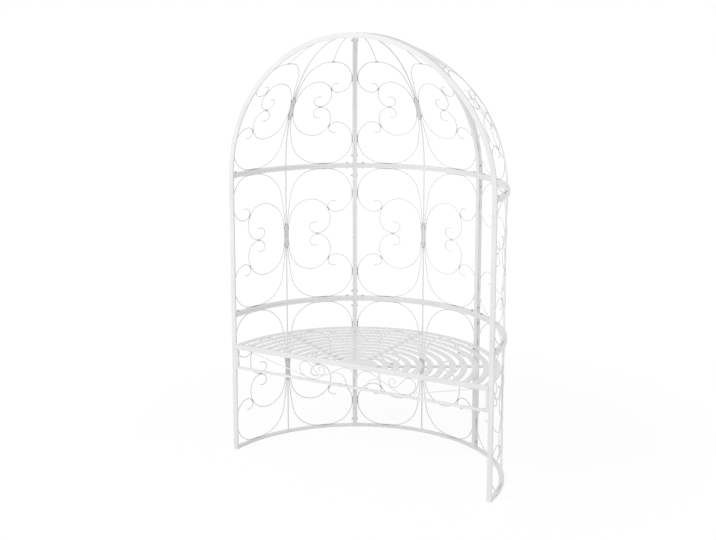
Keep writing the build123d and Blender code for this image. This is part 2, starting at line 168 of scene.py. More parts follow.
class PavilionSizes(PropertyGroup):
    """Sizes of the steelwork that the welds and washers sit on."""

    arc_radius: length("Plan radius", PLAN_RADIUS, "From the middle of the half circle to the tubes")
    tier_height: length("Panel height", PANEL_HEIGHT, "Height of one wall panel")
    tube_depth: length("Tube depth", POST_HIGH.x - POST_LOW.x, "Radial side of a frame tube")
    tube_width: length("Tube width", POST_HIGH.y - POST_LOW.y, "Narrow side of a frame tube")
    tube_corner: length("Tube corner", 0.002, "Outside corner radius of a frame tube")
    wire: length("Wire", 0.005, "Diameter of the scroll wire")
    bar: length("Bar", 0.007, "Diameter of the centre bars")
    gap: length("Weld gap", 0.0002, "Gap that a weld fills")
    spine_lean: length("Spine lean", 0.0185, "Lean of an outer scroll off the bar before it rolls over")
    weld_run: length("Flat run", 0.050, "Length of an outer scroll that lies on its rail")
    wall_loop: length("Wall loop", WALL_LOOP_SHARE * PANEL_HEIGHT, "Radius of the turn from rail to stile")
    dome_loop: length("Dome loop", DOME_LOOP_SHARE * PLAN_RADIUS, "Radius of the turn from rail to rib")
    inner_lean: length("Inner lean", 0.007, "Lean of an inner scroll off its outer neighbour")
    inner_rise: length("Inner rise", 0.036, "Top of an inner scroll over the side of the hook it touches")
    loop_ratio: factor("Loop ratio", 0.785, "Each eighth turn of a loop against the bend before")
    hook_radius: length("Hook radius", 0.0435, "First bend of the hook that follows a loop")
    hook_ratio: factor("Hook ratio", 0.70, "Each eighth turn of a hook against the one before")
    dome_scroll_rise: length(
        "Dome scroll rise", DOME_SCROLL_SHARE * PLAN_RADIUS, "Top of the dome scrolls, along the dome"
    )
    crown_gap: length("Crown gap", 0.004, "The ribs stop this far from the upright axis of the dome")
    slat_width: length("Slat width", 0.030, "Width of a bench slat")
    slat_pitch: length("Slat pitch", SLAT_PITCH, "From one slat to the next")
    slat_count: IntProperty(name="Slats", description="Slats inside the rim", default=SLAT_COUNT, min=1)
    support_size: length("Support bar", 0.012, "Side of a bar under the slats")
    wave_end: length("Wave end", WAVE_END_SHARE * HALF_RAIL, "Outer end of the apron's long wire")
    wave_low: length("Wave low point", WAVE_LOW_SHARE * HALF_RAIL, "Where that wire lies on the lower bar")
    wave_top: length("Wave top", 0.057, "Where it lies against the front rail again")
    heart_top: length("Heart top", HEART_TOP_SHARE * HALF_RAIL, "Where a heart scroll touches the rail")
    arch_foot: length("Arch foot", 0.055, "Foot of the small arch on the lower bar")


class FastenerSizes(PropertyGroup):
    """Places of the bolts, and the washers under their heads and nuts."""

    post_inset: length("Post bolt", 0.040, "From the ground and from the joint of the two tiers")
    dome_inset: length("Dome joint bolt", 0.052, "Either side of the joint below the dome")
    crown_inset: length("Crown bolt", 0.225, "Along a rib from the crown")
    rail_inset: length("Rail bolt", 0.041, "Along a rail from the joint of two panels")
    washer_radius: length("Washer radius", 0.0072, "Outside of a washer")
    washer_hole: length("Washer hole", 0.0046, "Inside of a washer")
    washer_thickness: length("Washer thickness", 0.0012, "Thickness of a washer")


class WeldSizes(PropertyGroup):
    """Sizes of the welds."""

    rail_bead: length("Rail bead", 0.054, "Bead where a scroll lies on a rail")
    stile_bead: length("Stile bead", 0.040, "Bead where a scroll touches a stile or a rib")
    hook_bead: length("Hook bead", 0.020, "Bead where the hook of a scroll touches the loop of another")
    twin_bead: length("Twin bead", 0.016, "Bead where an inner scroll touches its twin")
    spine_bead: length("Spine bead", 0.058, "Bead beside the bar, up and down from the middle")
    inner_bead: length("Inner bead", 0.042, "Bead between outer and inner scroll, beside the bar")
    spine_tack: length("Spine tack", 0.014, "Tack at the end of those beads")
    small_tack: length("Small tack", 0.014, "Tack at the foot of a dome rod and on the apron's wires")
    bead_width: length("Bead width", 0.0034, "Width of a bead between two wires")
    groove_width: length("Groove bead width", 0.0052, "Width of a bead between a wire and a tube")
    bead_height: length("Bead height", 0.0030, "Thickness of a bead")
    bead_offset: factor("Bead offset", 0.36, "From a wire's middle to a bead's, in wire diameters")
    slat_bead: factor("Slat bead", 0.60, "Bead at the end of a slat, against the slat's width")
    slat_tack: factor("Slat tack", 0.44, "Tack of a slat on a bar under it, against the slat's width")
    seam_radius: length("Seam radius", 0.0014, "Half width of the seam round a rail end")
    seam_lift: factor("Seam lift", 0.3, "From the tube to the middle of a seam, against the seam's radius")
    seam_ripple: factor("Seam ripple", 0.14, "How much a seam swells at each ripple")
    seam_pitch: length("Ripple pitch", 0.0026, "From one ripple of a seam to the next")
    crown_across: plain("Crown across", 1.3, "Half width of the crown weld, against the crown gap")
    crown_deep: plain("Crown deep", 0.8, "Half of that weld, front to back, against the crown gap")


class CoatFinish(PropertyGroup):
    """White powder coat of the steelwork, painted shade for the welds in crevices, and zinc of the
    fasteners.
    """

    white: colour("White", (0.85, 0.85, 0.847, 1.0), "Powder coat")
    white_shade: colour("White, thin", (0.81, 0.81, 0.807, 1.0), "Powder coat where it is thinner")
    # Painted shade: the spine, weld and groove tones below are darker coats for the shade in the narrow
    # gaps beside the bar, between two wires, and between a wire and a tube. They are not bare metal or a
    # thinner coat.
    spine_gap_painted_shade: colour("Spine", (0.70, 0.70, 0.695, 1.0), "Coat in the narrow gaps beside the bar")
    spine_gap_painted_shade_deep: colour("Spine, deep", (0.58, 0.58, 0.575, 1.0), "The deepest part of those gaps")
    weld: colour("Weld", (0.36, 0.36, 0.356, 1.0), "Thin, shaded coat in the crevice between two wires")
    weld_painted_shade_deep: colour("Weld, deep", (0.24, 0.24, 0.238, 1.0), "The deepest part of that crevice")
    groove: colour("Groove", (0.22, 0.22, 0.218, 1.0), "Bare groove between a wire and a tube")
    groove_painted_shade_deep: colour("Groove, deep", (0.12, 0.12, 0.118, 1.0), "The deepest part of that groove")
    roughness: factor("Frame roughness", 0.36, "Gloss of the frame, lower is shinier")
    wire_roughness: factor("Wire roughness", 0.40, "Gloss of the scrollwork")
    bench_roughness: factor("Bench roughness", 0.33, "Gloss of the bench")
    weld_roughness: factor("Weld roughness", 0.44, "Gloss of the coated welds")
    crevice_roughness: factor("Crevice roughness", 0.51, "Gloss of the shaded welds")
    gloss_spread: factor("Gloss spread", 0.07, "How far the roughness strays either way")
    gloss_scale: plain("Gloss scale", 38.0, "Patches of gloss in one metre")
    cloud_scale: plain("Cloud scale", 7.0, "Clouds of thicker coat in one metre")
    grain: plain("Orange peel", 620.0, "Grains of the coat in one metre")
    grain_depth: length("Orange peel depth", 0.00003, "Depth of the grain")
    grain_strength: factor("Orange peel strength", 0.5, "How strongly the grain bends the light")
    zinc: colour("Zinc", (0.64, 0.65, 0.66, 1.0), "Bolts, nuts and washers")
    zinc_dull: colour("Dull zinc", (0.46, 0.47, 0.48, 1.0), "Zinc where it has dulled")
    zinc_smooth: factor("Zinc, smooth", 0.30, "Lowest roughness of the zinc")
    zinc_rough: factor("Zinc, rough", 0.50, "Highest roughness of the zinc")
    zinc_gloss_scale: plain("Zinc gloss scale", 160.0, "Patches of gloss in one metre of zinc")
    spangle_scale: plain("Spangle scale", 420.0, "Spangles in one metre of zinc")
    spangle_mix: plain("Spangle mix", 90.0, "Scale of the noise that gives each spangle its tone")


class StudioLook(PropertyGroup):
    """Camera, floor and light."""

    camera_place: position("Camera", (3.094, -5.777, 2.437), "Where the camera stands")
    camera_turn: plain("Camera turn", 29.56, "Degrees from +Y, counter-clockwise from above")
    camera_drop: plain("Camera drop", 11.08, "Degrees that the camera looks down")
    lens: plain("Lens", 68.76, "Focal length in millimetres")
    sensor: plain("Sensor", 36.0, "Width of the sensor in millimetres")
    shift_x: plain("Shift X", -0.0016, "Lens shift across, to the right")
    shift_y: plain("Shift Y", -0.06, "Lens shift, up")
    floor: colour("Floor", (0.92, 0.92, 0.92, 1.0), "Floor where it catches light")
    floor_reach: length("Floor reach", 30.0, "From the middle of the floor to its sides")
    floor_strength: plain("Floor strength", 1.05, "Brightness of the plain white in the floor")
    floor_white: factor("Floor white", 0.80, "Share of plain white in the floor under the object")
    shadow_near: length("Shadow, near", 1.3, "Out to here the floor shows the whole shadow")
    shadow_far: length("Shadow, far", 3.6, "From here on the floor is plain white")
    sky: factor("Sky", 0.66, "Even light from all round")
    key: plain("Key lamp", 168.0, "Power of the large lamp at the front left")
    key_place: position("Key place", (-2.4, -6.0, 4.4), "Where that lamp hangs")
    key_size: length("Key size", 3.6, "Side of that lamp")
    fill: plain("Fill lamp", 14.0, "Power of the lamp at the right")
    fill_place: position("Fill place", (3.4, -1.2, 3.0), "Where that lamp hangs")
    fill_size: length("Fill size", 2.0, "Side of that lamp")
    lamp_aim: position("Lamp aim", (0.0, 0.0, 1.0), "Where both lamps point")


# Surfaces as whole arrays

def circle(count):
    """Angles evenly round a full circle."""
    return np.linspace(0, 2 * pi, count, endpoint=False)


def half_circle(count):
    """Angles evenly along a half circle, without its two ends."""
    return np.linspace(0, pi, count + 2)[1:-1]


def squared_off(wave, power):
    """A sine or cosine with fuller tops: its size to a power below 1, with its sign."""
    return np.sign(wave) * np.abs(wave) ** power


def unit(vectors):
    """The vectors at length 1."""
    return vectors / np.linalg.norm(vectors, axis=-1, keepdims=True)


def repeated(row, count):
    """The same row count times, as (count, len(row))."""
    return np.tile(row, (count, 1))


def add_piece(name, points, quads, triangles, material, slot_name):
    """A smooth mesh piece from points (n, 3), quads (m, 4) and triangles (k, 3), riding on the frame."""
    corners = np.concatenate([quads.ravel(), triangles.ravel()]).astype(np.int32)
    totals = np.concatenate([np.full(len(quads), 4), np.full(len(triangles), 3)]).astype(np.int32)
    mesh = bpy.data.meshes.new(name)
    mesh.vertices.add(len(points))
    mesh.vertices.foreach_set("co", points.astype(np.float32).ravel())
    mesh.loops.add(len(corners))
    mesh.loops.foreach_set("vertex_index", corners)
    mesh.polygons.add(len(totals))
    mesh.polygons.foreach_set("loop_start", (np.cumsum(totals) - totals).astype(np.int32))
    mesh.polygons.foreach_set("loop_total", totals)
    mesh.polygons.foreach_set("use_smooth", np.ones(len(totals), bool))
    mesh.update(calc_edges=True)
    mesh.validate()
    mesh.materials.append(material)
    piece = bpy.data.objects.new(name, mesh)
    bpy.context.scene.collection.objects.link(piece)
    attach(piece, BODY)


def capped_tubes(rings, first_tips, last_tips):
    """Closed skins over many alike tubes: rings (copies, along, around, 3), one tip point at each end.

    Neighbouring rings are joined by quads, and each end ring is joined to its tip by triangles.
    """
    copies, along, around, _ = rings.shape
    count = along * around
    skins = rings.reshape(copies, count, 3)
    points = np.concatenate([skins, first_tips[:, None], last_tips[:, None]], axis=1)
    here = np.arange(count).reshape(along, around)
    after = np.roll(here, -1, axis=1)
    quads = np.stack([here[:-1], after[:-1], after[1:], here[1:]], axis=-1).reshape(-1, 4)
    first = np.stack([np.full(around, count), after[0], here[0]], axis=-1)
    last = np.stack([np.full(around, count + 1), here[-1], after[-1]], axis=-1)
    shift = (np.arange(copies) * (count + 2))[:, None, None]
    return (
        points.reshape(-1, 3),
        (quads[None] + shift).reshape(-1, 4),
        (np.concatenate([first, last])[None] + shift).reshape(-1, 3),
    )


def closed_rings(grid):
    """Closed skins over many alike rings: grid (copies, round the ring, round its section, 3)."""
    copies, along, around, _ = grid.shape
    here = np.arange(along * around).reshape(along, around)
    right = np.roll(here, -1, axis=1)
    up = np.roll(here, -1, axis=0)
    corner = np.roll(right, -1, axis=0)
    quads = np.stack([here, right, corner, up], axis=-1).reshape(-1, 4)
    shift = (np.arange(copies) * along * around)[:, None, None]
    return grid.reshape(-1, 3), (quads[None] + shift).reshape(-1, 4), np.zeros((0, 3), int)


def bead_shapes(middles, axes, half_sizes):
    """Weld beads: point = middle + sum of half size * axis * blunt unit sphere.

    middles is (n, 3), axes is (n, 3, 3) with rows along, across and out, half_sizes is (n, 3).
    The sphere's poles lie along the bead, and the root of the sine keeps it full almost to its ends.
    """
    lap = circle(BEAD_SIDES)
    pole = half_circle(BEAD_RINGS)
    full = squared_off(np.sin(pole), BEAD_POWER)[:, None]
    coordinates = np.broadcast_arrays(np.cos(pole)[:, None], full * np.cos(lap), full * np.sin(lap))
    scaled = axes * half_sizes[..., None]
    rings = middles[:, None, None] + np.einsum("vuk,nkd->nvud", np.stack(coordinates, axis=-1), scaled)
    tips = scaled[:, 0]
    return capped_tubes(rings, middles + tips, middles - tips)


# Plane curve of the scrolls: a run is (length, turn), right turns are negative

def arc(radius, turn):
    """A run whose length is the radius times the turn."""
    return radius * radians(abs(turn)), turn


def trace(start, heading, runs, step):
    """Points (x, y, heading) along tangent runs: each is walked in equal steps of turn and summed."""
    pieces = []
    for run_length, turn in runs:
        parts = max(1, int(np.ceil(abs(turn) / step)))
        pieces.append(repeated([run_length / parts, turn / parts], parts))
    steps = np.concatenate(pieces)
    half = np.radians(steps[:, 1]) / 2
    before = np.radians(heading) + np.cumsum(2 * half) - 2 * half
    chord = steps[:, 0] * np.sinc(half / pi)
    x = start[0] + np.cumsum(chord * np.cos(before + half))
    y = start[1] + np.cumsum(chord * np.sin(before + half))
    return np.stack([x, y, np.degrees(before + 2 * half)], axis=-1)


def half_turn(radius, ratio):
    """A quarter turn, then two eighths, each smaller than the bend before by the ratio."""
    eighths = [arc(radius * ratio**power, -EIGHTH_TURN) for power in (1, 2)]
    return [arc(radius, -QUARTER_TURN), *eighths]


def hook(sizes, eighths):
    """Eighth turns from the hook radius on, each smaller than the one before by the hook ratio."""
    return [arc(sizes.hook_radius * sizes.hook_ratio**power, -EIGHTH_TURN) for power in range(eighths)]


def spine_bend(top_radius, lean, height):
    """Curvature of the long bend beside the bar, for a scroll that rolls over level at the height."""
    return 2 * lean / ((top_radius + lean) ** 2 + (height - top_radius) ** 2 - top_radius**2)


def slide_to_touch(shoulder, curl, reach):
    """How far the shoulder slides towards +x until it is one reach from the curl, and where the two touch.

    Two points touch where the square of their distance across is the square of the reach less that of
    their distance in height. The least slide of all pairs counts.
    """
    apart = np.abs(curl[None, :, 1] - shoulder[:, None, 1])
    across = np.sqrt(np.clip(reach**2 - apart**2, 0, None))
    slide = np.where(apart < reach, curl[None, :, 0] - shoulder[:, None, 0] - across, np.inf)
    here, there = np.unravel_index(np.argmin(slide), slide.shape)
    return slide[here, there], shoulder[here], curl[there]


def scroll_contacts(sizes, weld, height, loop, on_rail, squeeze):
    """Where the scrolls of a quarter panel touch, as (x, y, heading, bead length).

    First come the contacts in the grooves of the frame, then those between two wires, then the gaps
    beside the bar. The inner scroll slides towards +x until its loop is one wire pitch from the outer
    scroll's hook. on_rail is false where the flat run of the outer scroll has no rail and carries a rod
    instead. squeeze(y) is the true width of a unit of x at height y.
    """
    pitch = sizes.wire + sizes.gap
    seat = sizes.wire / 2 + sizes.gap
    skin = pitch / 2
    foot = (sizes.bar / 2 + seat) / squeeze(0.0)
    half_panel = radians(PANEL_ANGLE / 2) * sizes.arc_radius
    edge = half_panel - (sizes.tube_width + seat) / squeeze(height - loop)

    # The outer scroll from the end of its flat run, then the inner one, slid against it
    run_end = (edge - loop, height)
    bend = half_turn(loop, sizes.loop_ratio)
    outer = trace(run_end, 0.0, bend + hook(sizes, TOUCH_EIGHTHS), FINE_STEP)
    hook_side = trace(run_end, 0.0, bend + hook(sizes, SIDE_EIGHTHS), EIGHTH_TURN)[-1, 1]
    drop = -trace((0.0, 0.0), 0.0, half_turn(1.0, sizes.loop_ratio), EIGHTH_TURN)[-1, 1]
    inner_height = hook_side + sizes.inner_rise
    inner_bend = half_turn((inner_height - skin) / drop, sizes.loop_ratio)
    shoulder = trace((0.0, inner_height), 0.0, inner_bend[:1], FINE_STEP)
    outer_curl = outer[len(shoulder):]  # past its own first quarter turn, which has as many points
    shift, on_inner, on_outer = slide_to_touch(shoulder, outer_curl, pitch / squeeze(hook_side))
    touch = ((on_inner[0] + shift + on_outer[0]) / 2, (on_inner[1] + on_outer[1]) / 2, on_inner[2])
    twin = trace((shift, inner_height), 0.0, inner_bend, EIGHTH_TURN)[-1]

    # Beside the bar: the foot of each gap, and the curvatures of the wires on its two sides, added up
    inner_foot = foot + pitch / squeeze(0.0)
    top_radius = run_end[0] - sizes.weld_run - foot - sizes.spine_lean
    outer_bend = spine_bend(top_radius, sizes.spine_lean, height)
    inner_spine = spine_bend(shift - inner_foot - sizes.inner_lean, sizes.inner_lean, inner_height)
    feet = np.array([foot, inner_foot]) - skin / squeeze(0.0)
    bends = np.array([outer_bend, outer_bend + inner_spine])
    ends = np.array([weld.spine_bead, weld.inner_bead])

    def beside_bar(levels, beads):
        """The gap leans by the mean of its two wires, each half its curvature times the level squared."""
        lean = bends * levels**2 / 4
        return np.stack(np.broadcast_arrays(feet + lean, levels, UPRIGHT, beads), axis=-1)

    run = (edge - loop - sizes.weld_run / 2, height + skin, 0.0)
    grooves = [(edge + skin / squeeze(height - loop), height - loop, UPRIGHT, weld.stile_bead)]
    touches = [(*touch, weld.hook_bead), (twin[0], 0.0, 0.0, weld.twin_bead)]
    if on_rail:
        grooves.append((*run, weld.rail_bead))
    else:
        touches.append((*run, weld.small_tack))
    touches = np.concatenate([touches, beside_bar(ends, weld.spine_tack)])
    return np.array(grooves), touches, beside_bar(ends / 2, ends)


def all_quarters(upper, lower):
    """Contacts of the upper and the lower right quarter of a panel, and their mirror images on the left.

    A contact at middle height belongs to both quarters and is taken from the upper one.
    """
    right = np.concatenate([upper, lower[lower[:, 1] > 0] * [1, -1, -1, 1]])
    left = right * [-1, 1, -1, 1] + [0, 0, 2 * QUARTER_TURN, 0]
    return np.concatenate([right, left])


def turned(vectors, angles, laid_at):
    """Vectors (n, 3), laid out at one angle, turned about +Z to each angle: (angles, n, 3), flattened."""
    turn = np.radians(angles - laid_at)
    rows = np.zeros((len(turn), 3, 3))
    rows[:, 0, 0] = rows[:, 1, 1] = np.cos(turn)
    rows[:, 0, 1] = -np.sin(turn)
    rows[:, 1, 0] = np.sin(turn)
    rows[:, 2, 2] = 1
    return np.einsum("aij,nj->ani", rows, vectors).reshape(-1, 3)


def to_origin(points, sizes):
    """From the middle of the half circle to the frame's origin, half the depth further back."""
    return points - [0, (sizes.arc_radius + sizes.tube_depth / 2) / 2, 0]


def on_wall(contacts, sizes, base):
    """Contacts bent onto the wall at the back, x becoming the angle x / radius: points, ways, normals."""
    turn = contacts[:, 0] / sizes.arc_radius
    heading = np.radians(contacts[:, 2])
    level = np.cos(heading)
    flat = np.stack([np.sin(turn), np.cos(turn), np.zeros_like(turn)], axis=-1)
    height = base + sizes.tier_height / 2 + contacts[:, 1]
    points = flat * sizes.arc_radius + height[:, None] * UP
    ways = np.stack([level * np.cos(turn), -level * np.sin(turn), np.sin(heading)], axis=-1)
    return points, ways, flat


def on_dome(contacts, sizes, middle):
    """Contacts bent onto the dome at the back: points, ways and normals.

    x becomes the angle x / radius, and middle + y the arc up a meridian from the springing line.
    """
    turn = contacts[:, 0] / sizes.arc_radius
    latitude = (middle + contacts[:, 1]) / sizes.arc_radius
    heading = np.radians(contacts[:, 2])
    level = np.cos(heading) * np.cos(latitude)
    flat = np.stack([np.sin(turn), np.cos(turn), np.zeros_like(turn)], axis=-1)
    east = np.stack([np.cos(turn), -np.sin(turn), np.zeros_like(turn)], axis=-1)
    out = flat * np.cos(latitude)[:, None] + np.sin(latitude)[:, None] * UP
    north = -flat * np.sin(latitude)[:, None] + np.cos(latitude)[:, None] * UP
    points = out * sizes.arc_radius + 2 * sizes.tier_height * UP
    return points, unit(east * level[:, None] + north * np.sin(heading)[:, None]), out


# Materials, with each node at a column and a row of the node editor

def node(tree, kind, column, row, **values):
    """A new node with its settings."""
    made = tree.nodes.new(kind)
    made.location = (column * NODE_COLUMN, -row * NODE_ROW)
    for key, value in values.items():
        setattr(made, key, value)
    return made


def noise(tree, source, scale, detail, column, row):
    """Noise over the source's places, about 0 to 1."""
    made = node(tree, "ShaderNodeTexNoise", column, row)
    made.inputs["Scale"].default_value = scale
    made.inputs["Detail"].default_value = detail
    tree.links.new(source, made.inputs["Vector"])
    return made.outputs["Fac"]


def ramp(tree, source, stops, shades, column, row):
    """The first shade up to the first stop, the second from the second stop on, and a blend between."""
    made = node(tree, "ShaderNodeValToRGB", column, row)
    for element, stop, shade in zip(made.color_ramp.elements, stops, shades):
        element.position = stop
        element.color = shade
    tree.links.new(source, made.inputs["Fac"])
    return made.outputs["Color"]


def spread(tree, source, low, high, column, row):
    """A value from 0 to 1 spread from low to high."""
    made = node(tree, "ShaderNodeMapRange", column, row)
    made.inputs["To Min"].default_value = low
    made.inputs["To Max"].default_value = high
    tree.links.new(source, made.inputs["Value"])
    return made.outputs["Result"]


def new_material(name):
    """A material without nodes yet, and its tree."""
    material = bpy.data.materials.new(name)
    material.use_nodes = True
    material.node_tree.nodes.clear()
    return material, material.node_tree


def powder_coat(name, finish, tones, roughness, grain_depth):
    """Powder coat: cloudy thickness between two tones, orange peel in the bump, uneven gloss."""
    material, tree = new_material(name)
    place = node(tree, "ShaderNodeTexCoord", 0, 1).outputs["Object"]
    clouds = noise(tree, place, finish.cloud_scale, CLOUD_DETAIL, 1, 0)
    tint = ramp(tree, clouds, CLOUD_STOPS, tones, 2, 0)
    patches = noise(tree, place, finish.gloss_scale, GLOSS_DETAIL, 1, 1)
    gloss = spread(tree, patches, roughness - finish.gloss_spread, roughness + finish.gloss_spread, 2, 1)
    peel = noise(tree, place, finish.grain, GRAIN_DETAIL, 1, 2)
    bump = node(tree, "ShaderNodeBump", 2, 2)
    bump.inputs["Strength"].default_value = finish.grain_strength
    bump.inputs["Distance"].default_value = grain_depth
    tree.links.new(peel, bump.inputs["Height"])
    coat = node(tree, "ShaderNodeBsdfPrincipled", 4, 1)
    tree.links.new(tint, coat.inputs["Base Color"])
    tree.links.new(gloss, coat.inputs["Roughness"])
    tree.links.new(bump.outputs["Normal"], coat.inputs["Normal"])
    out = node(tree, "ShaderNodeOutputMaterial", 6, 1)
    tree.links.new(coat.outputs["BSDF"], out.inputs["Surface"])
    return material


def zinc_plate(name, finish):
    """Zinc-plated steel: small spangles between bright and dull, with uneven gloss."""
    material, tree = new_material(name)
    place = node(tree, "ShaderNodeTexCoord", 0, 1).outputs["Object"]
    cells = node(tree, "ShaderNodeTexVoronoi", 1, 0)
    cells.inputs["Scale"].default_value = finish.spangle_scale
    tree.links.new(place, cells.inputs["Vector"])
    shade = noise(tree, cells.outputs["Position"], finish.spangle_mix, GRAIN_DETAIL, 2, 0)
    tint = ramp(tree, shade, SPANGLE_STOPS, (finish.zinc_dull, finish.zinc), 3, 0)
    patches = noise(tree, place, finish.zinc_gloss_scale, GLOSS_DETAIL, 1, 1)
    gloss = spread(tree, patches, finish.zinc_smooth, finish.zinc_rough, 2, 1)
    metal = node(tree, "ShaderNodeBsdfPrincipled", 5, 1)
    metal.inputs["Metallic"].default_value = 1.0
    tree.links.new(tint, metal.inputs["Base Color"])
    tree.links.new(gloss, metal.inputs["Roughness"])
    out = node(tree, "ShaderNodeOutputMaterial", 7, 1)
    tree.links.new(metal.outputs["BSDF"], out.inputs["Surface"])
    return material


def seen_ray(tree, row):
    """1 for rays from the camera and for reflected or refracted rays, else 0."""
    path = node(tree, "ShaderNodeLightPath", 0, row)
    total = path.outputs["Is Camera Ray"]
    for column, name in enumerate(("Is Glossy Ray", "Is Transmission Ray"), start=1):
        larger = node(tree, "ShaderNodeMath", column, row, operation="MAXIMUM")
        tree.links.new(total, larger.inputs[0])
        tree.links.new(path.outputs[name], larger.inputs[1])
        total = larger.outputs[0]
    return total


def studio_floor(look):
    """Pale floor that catches light and shadow round the object, and is plain white further off.

    Only what is seen is whitened: the floor lights the object as a pale floor does.
    """
    material, tree = new_material("studio_floor")
    lit = node(tree, "ShaderNodeBsdfDiffuse", 3, 0)
    lit.inputs["Color"].default_value = look.floor
    white = node(tree, "ShaderNodeEmission", 3, 1)
    white.inputs["Strength"].default_value = look.floor_strength
    place = node(tree, "ShaderNodeTexCoord", 0, 3).outputs["Object"]
    away = node(tree, "ShaderNodeVectorMath", 1, 3, operation="LENGTH")
    tree.links.new(place, away.inputs[0])
    fade = spread(tree, away.outputs["Value"], look.floor_white, 1.0, 2, 3)
    fade.node.inputs["From Min"].default_value = look.shadow_near
    fade.node.inputs["From Max"].default_value = look.shadow_far
    share = node(tree, "ShaderNodeMath", 3, 2, operation="MULTIPLY")
    tree.links.new(seen_ray(tree, 2), share.inputs[0])
    tree.links.new(fade, share.inputs[1])
    both = node(tree, "ShaderNodeMixShader", 4, 1)
    tree.links.new(share.outputs[0], both.inputs["Fac"])
    tree.links.new(lit.outputs["BSDF"], both.inputs[1])
    tree.links.new(white.outputs["Emission"], both.inputs[2])
    out = node(tree, "ShaderNodeOutputMaterial", 5, 1)
    tree.links.new(both.outputs["Shader"], out.inputs["Surface"])
    return material


def finish_named(name):
    """The finish that the coating operator made."""
    material = bpy.data.materials.get(name)
    if material is None:
        raise RuntimeError(f"{name} isn't made yet: coat the steelwork first")
    return material


# Studio

def add_floor(look):
    """One square of floor at height 0."""
    reach = look.floor_reach
    corners = [(-reach, -reach, 0), (reach, -reach, 0), (reach, reach, 0), (-reach, reach, 0)]
    mesh = bpy.data.meshes.new("floor")
    mesh.from_pydata(corners, [], [(0, 1, 2, 3)])
    mesh.materials.append(studio_floor(look))
    floor = bpy.data.objects.new("floor", mesh)
    bpy.context.scene.collection.objects.link(floor)


def studio_world(look):
    """Even light from all round, which is plain white where it is seen."""
    world = bpy.data.worlds.new("studio")
    world.use_nodes = True
    tree = world.node_tree
    tree.nodes.clear()
    back = node(tree, "ShaderNodeBackground", 4, 0)
    strength = spread(tree, seen_ray(tree, 0), look.sky, 1.0, 3, 0)
    tree.links.new(strength, back.inputs["Strength"])
    back.inputs["Color"].default_value = (1.0, 1.0, 1.0, 1.0)
    out = node(tree, "ShaderNodeOutputWorld", 5, 0)
    tree.links.new(back.outputs["Background"], out.inputs["Surface"])
    return world


def add_lamp(name, place, size, power, target):
    """A square lamp that is turned about Z and tilted so that it points at the target."""
    data = bpy.data.lights.new(name, "AREA")
    data.size = size
    data.energy = power
    lamp = bpy.data.objects.new(name, data)
    lamp.location = place
    aim = np.array(target) - np.array(place)
    tilt = float(np.arctan2(np.hypot(aim[0], aim[1]), -aim[2]))
    lamp.rotation_euler = (tilt, 0.0, float(np.arctan2(-aim[0], aim[1])))
    bpy.context.scene.collection.objects.link(lamp)


def add_camera(look):
    """The camera at the viewing angle of the photograph."""
    data = bpy.data.cameras.new("camera")
    data.sensor_width = look.sensor
    data.lens = look.lens
    data.shift_x = look.shift_x
    data.shift_y = look.shift_y
    camera = bpy.data.objects.new("camera", data)
    camera.location = look.camera_place
    camera.rotation_euler = (radians(QUARTER_TURN - look.camera_drop), 0.0, radians(look.camera_turn))
    bpy.context.scene.collection.objects.link(camera)
    return camera


# Operators

class PAVILION_OT_coat(Operator):
    """Coat the frame, scrollwork and bench white and plate the fasteners with zinc"""

    bl_idname = "pavilion.coat"
    bl_label = "Coat the steelwork"

    def execute(self, context):
        finish = context.scene.pavilion_finish
        white = (finish.white_shade, finish.white)
        peel = finish.grain_depth
        made = {
            "frame": powder_coat("frame_coat", finish, white, finish.roughness, peel),
            "scrollwork": powder_coat("wire_coat", finish, white, finish.wire_roughness, peel / 2),
            "bench": powder_coat("bench_coat", finish, white, finish.bench_roughness, peel),
            "fasteners": zinc_plate("zinc_plate", finish),
        }
        powder_coat("weld_coat", finish, white, finish.weld_roughness, 2 * peel)
        # Painted shade: the spine, crevice and groove coats are darker copies of the powder coat. They show
        # the shade in the narrow gaps where a wire meets the bar, another wire or a tube.
        painted_shade_coats = {
            "spine_gap_painted_shade_coat": (finish.spine_gap_painted_shade_deep, finish.spine_gap_painted_shade),
            "crevice_painted_shade_coat": (finish.weld_painted_shade_deep, finish.weld),
            "groove_painted_shade_coat": (finish.groove_painted_shade_deep, finish.groove),
        }
        for name, tones in painted_shade_coats.items():
            powder_coat(name, finish, tones, finish.crevice_roughness, 2 * peel)
        for part in frame["record"]["subparts"]:
            for slot in frame["nodes"][part["node"]].material_slots:
                slot.material = made[part["material_slot"]]
        return {"FINISHED"}


